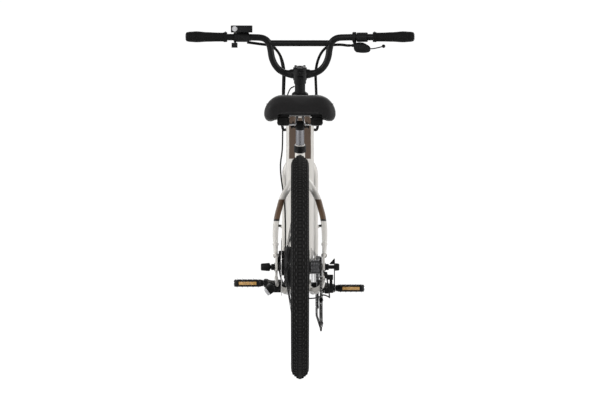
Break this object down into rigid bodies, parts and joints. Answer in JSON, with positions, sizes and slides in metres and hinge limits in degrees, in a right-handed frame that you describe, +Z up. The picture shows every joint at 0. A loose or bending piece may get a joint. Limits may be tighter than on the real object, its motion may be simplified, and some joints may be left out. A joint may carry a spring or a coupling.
{
  "type": "step-through electric bicycle",
  "caption": "Step-through electric bicycle with a battery in its down tube, rear hub motor, disc brakes, chain drive, wide sprung saddle and raised U-shaped bar.",
  "frame": {"origin": "bottom centre of the bounding box, on the ground that the tyres stand on", "axes": "+Y towards the front wheel, +X to the rider's right (drive) side, +Z up"},
  "size_m": [0.764, 1.83, 1.1445],
  "materials": {
    "cream_paint": "satin",
    "black_metal": "satin",
    "black_plastic": "matte",
    "rubber": "matte",
    "tyre": "matte",
    "polished_alloy": "polished",
    "steel": "brushed",
    "saddle_cover": "satin",
    "display_grey": "satin"
  },
  "bodies": {
    "frame": {"head_tube": "cream_paint", "down_tube": "cream_paint", "seat_tube": "cream_paint", "bottom_bracket_shell": "cream_paint", "chainstay_left": "cream_paint", "chainstay_right": "cream_paint", "seatstay_left": "cream_paint", "seatstay_right": "cream_paint", "motor_controller": "black_metal", "seat_collar": "black_metal", "rear_axle": "black_metal", "rear_caliper": "black_metal", "chain": "black_metal", "kickstand_bracket": "black_metal", "wire_bundle_left": "rubber", "wire_bundle_right": "rubber", "rear_brake_hose": "rubber", "shift_cable": "rubber", "derailleur_guard": "black_metal"},
    "battery": {"battery_pack": "black_plastic"},
    "steering": {"fork": "cream_paint", "stem": "black_metal", "handlebar": "black_metal", "grip_left": "rubber", "grip_right": "rubber", "brake_perch_left": "black_metal", "brake_perch_right": "black_metal", "shifter_pod": "black_plastic", "display_unit": "black_plastic", "front_caliper": "black_metal", "front_axle": "steel", "front_brake_hose": "rubber"},
    "left_brake_lever": {"brake_lever_left": "black_metal"},
    "right_brake_lever": {"brake_lever_right": "black_metal"},
    "gear_lever": {"shift_lever": "black_metal"},
    "throttle": {"throttle_paddle": "black_plastic"},
    "button": {"display_button": "display_grey"},
    "front_wheel": {"front_tyre": "tyre", "front_rim": "black_metal", "front_hub": "black_metal", "front_rotor": "steel"},
    "rear_wheel": {"rear_tyre": "tyre", "rear_rim": "black_metal", "hub_motor": "black_metal", "rear_rotor": "steel"},
    "freewheel_cogs": {"freewheel": "steel"},
    "crank": {"crank_arm_left": "black_metal", "crank_arm_right": "black_metal", "chainring": "black_metal"},
    "left_pedal": {"pedal_left": "black_plastic"},
    "right_pedal": {"pedal_right": "black_plastic"},
    "derailleur_arm": {"derailleur_link": "black_metal"},
    "derailleur_lower": {"derailleur_knuckle": "black_metal"},
    "chain_cage": {"derailleur_cage": "black_metal"},
    "guide_pulley": {"upper_pulley": "black_plastic"},
    "tension_pulley": {"lower_pulley": "black_plastic"},
    "kickstand": {"kickstand_leg": "black_metal"},
    "saddle": {"seatpost": "polished_alloy", "saddle_cushion": "saddle_cover", "saddle_base": "black_plastic"}
  },
  "joints": [
    {"name": "steering_turn", "type": "hinge", "parent": "frame", "child": "steering", "pos_m": [0, 0.31511, 0.905], "axis": [0, -0.342, 0.9397], "range_deg": [-50, 50], "deforming": ["wire_bundle_left", "wire_bundle_right"]},
    {"name": "front_wheel_spin", "type": "hinge", "parent": "steering", "child": "front_wheel", "pos_m": [0, 0.565, 0.35], "axis": [1, 0, 0], "continuous": true},
    {"name": "rear_wheel_spin", "type": "hinge", "parent": "frame", "child": "rear_wheel", "pos_m": [0, -0.565, 0.35], "axis": [1, 0, 0], "continuous": true},
    {"name": "crank_spin", "type": "hinge", "parent": "frame", "child": "crank", "pos_m": [0, -0.10904, 0.282], "axis": [1, 0, 0], "continuous": true, "deforming": ["chain"]},
    {"name": "freewheel_spin", "type": "hinge", "parent": "frame", "child": "freewheel_cogs", "pos_m": [0, -0.565, 0.35], "axis": [1, 0, 0], "continuous": true, "deforming": ["chain"]},
    {"name": "left_pedal_spin", "type": "hinge", "parent": "crank", "child": "left_pedal", "pos_m": [-0.124, -0.27863, 0.29386], "axis": [1, 0, 0], "continuous": true},
    {"name": "right_pedal_spin", "type": "hinge", "parent": "crank", "child": "right_pedal", "pos_m": [0.124, 0.06054, 0.27014], "axis": [1, 0, 0], "continuous": true},
    {"name": "derailleur_swing", "type": "hinge", "parent": "frame", "child": "derailleur_arm", "pos_m": [0.097, -0.559, 0.318], "axis": [0, 1, 0], "range_deg": [0, 45], "stiffness_Nm_per_rad": 1, "deforming": ["chain", "shift_cable"]},
    {"name": "derailleur_level", "type": "hinge", "parent": "derailleur_arm", "child": "derailleur_lower", "pos_m": [0.097, -0.559, 0.276], "axis": [0, 1, 0], "range_deg": [-45, 0], "deforming": ["chain"]},
    {"name": "cage_tension", "type": "hinge", "parent": "derailleur_lower", "child": "chain_cage", "pos_m": [0.0713, -0.559, 0.276], "axis": [1, 0, 0], "range_deg": [-8, 40], "stiffness_Nm_per_rad": 1.5, "deforming": ["chain"]},
    {"name": "guide_pulley_spin", "type": "hinge", "parent": "chain_cage", "child": "guide_pulley", "pos_m": [0.0655, -0.553, 0.247], "axis": [1, 0, 0], "continuous": true, "deforming": ["chain"]},
    {"name": "tension_pulley_spin", "type": "hinge", "parent": "chain_cage", "child": "tension_pulley", "pos_m": [0.0655, -0.57785, 0.17518], "axis": [1, 0, 0], "continuous": true, "deforming": ["chain"]},
    {"name": "battery_drop", "type": "hinge", "parent": "frame", "child": "battery", "pos_m": [0, 0.02698, 0.38892], "axis": [1, 0, 0], "range_deg": [-6, 0]},
    {"name": "kickstand_fold", "type": "hinge", "parent": "frame", "child": "kickstand", "pos_m": [-0.088, -0.46254, 0.288], "axis": [0.9361, 0, -0.3518], "range_deg": [0, 96]},
    {"name": "seatpost_height", "type": "slide", "parent": "frame", "child": "saddle", "axis": [0, -0.2924, 0.9563], "range_m": [-0.045, 0.07]},
    {"name": "left_brake_squeeze", "type": "hinge", "parent": "steering", "child": "left_brake_lever", "pos_m": [-0.178, 0.36423, 1.106], "axis": [0, 0, 1], "range_deg": [0, 14], "stiffness_Nm_per_rad": 2},
    {"name": "right_brake_squeeze", "type": "hinge", "parent": "steering", "child": "right_brake_lever", "pos_m": [0.196, 0.36117, 1.106], "axis": [0, 0, -1], "range_deg": [0, 14], "stiffness_Nm_per_rad": 2},
    {"name": "gear_lever_push", "type": "hinge", "parent": "steering", "child": "gear_lever", "pos_m": [0.224, 0.31947, 1.0675], "axis": [0, 0, 1], "range_deg": [0, 35], "stiffness_Nm_per_rad": 0.3},
    {"name": "throttle_push", "type": "hinge", "parent": "steering", "child": "throttle", "pos_m": [-0.2175, 0.31152, 1.106], "axis": [0.9859, 0.1676, 0], "range_deg": [0, 35], "stiffness_Nm_per_rad": 0.3},
    {"name": "button_press", "type": "slide", "parent": "steering", "child": "button", "axis": [0, 1, 0], "range_m": [0, 0.0015], "stiffness_N_per_m": 600}
  ],
  "couplings": [
    {"joint": "freewheel_spin", "follows": "crank_spin", "ratio": 3.2857},
    {"joint": "guide_pulley_spin", "follows": "crank_spin", "ratio": -4.1818},
    {"joint": "tension_pulley_spin", "follows": "crank_spin", "ratio": 4.1818},
    {"joint": "derailleur_level", "follows": "derailleur_swing", "ratio": -1}
  ]
}
